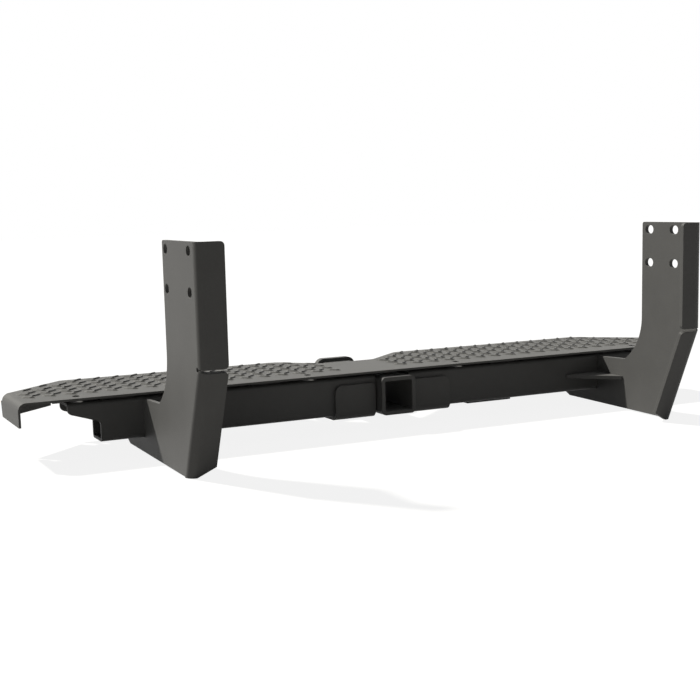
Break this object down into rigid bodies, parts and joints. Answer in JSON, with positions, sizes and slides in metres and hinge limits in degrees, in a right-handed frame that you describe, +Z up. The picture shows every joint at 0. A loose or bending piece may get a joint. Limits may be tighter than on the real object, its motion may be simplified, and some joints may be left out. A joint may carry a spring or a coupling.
{
  "type": "hitch receiver step",
  "caption": "Frame-mounted hitch receiver with a wide folded tread-plate step over its crossbar, upright bolt-on side brackets, a safety-chain plate and a wiring-socket bracket.",
  "frame": {"origin": "centre of the receiver's mouth, on the axis of its square socket", "axes": "+Y runs out of the receiver's mouth to the rear of the vehicle, +Z is up, X runs across the vehicle"},
  "size_m": [1.248, 0.4984, 0.3329],
  "materials": {
    "deck_coat": "satin black powder coat on tread plate",
    "bar_coat": "satin black powder coat",
    "receiver_coat": "satin black powder coat",
    "plate_coat": "satin black powder coat",
    "bracket_coat": "satin black powder coat",
    "rib_coat": "satin black powder coat"
  },
  "bodies": {
    "root": {"step_deck": "deck_coat", "crossbar_left": "bar_coat", "crossbar_right": "bar_coat", "receiver_tube": "receiver_coat", "receiver_collar": "receiver_coat", "reinforcement_plate_left": "plate_coat", "reinforcement_plate_right": "plate_coat", "side_bracket_left": "bracket_coat", "side_bracket_right": "bracket_coat", "corner_gusset_left": "bracket_coat", "corner_gusset_right": "bracket_coat", "safety_chain_plate": "plate_coat", "wiring_bracket": "plate_coat", "deck_rib_left_outer": "rib_coat", "deck_rib_left_inner": "rib_coat", "deck_rib_right_inner": "rib_coat", "deck_rib_right_outer": "rib_coat", "deck_pad_left_outer": "rib_coat", "deck_pad_left_inner": "rib_coat", "deck_pad_right_inner": "rib_coat", "deck_pad_right_outer": "rib_coat"}
  },
  "joints": []
}
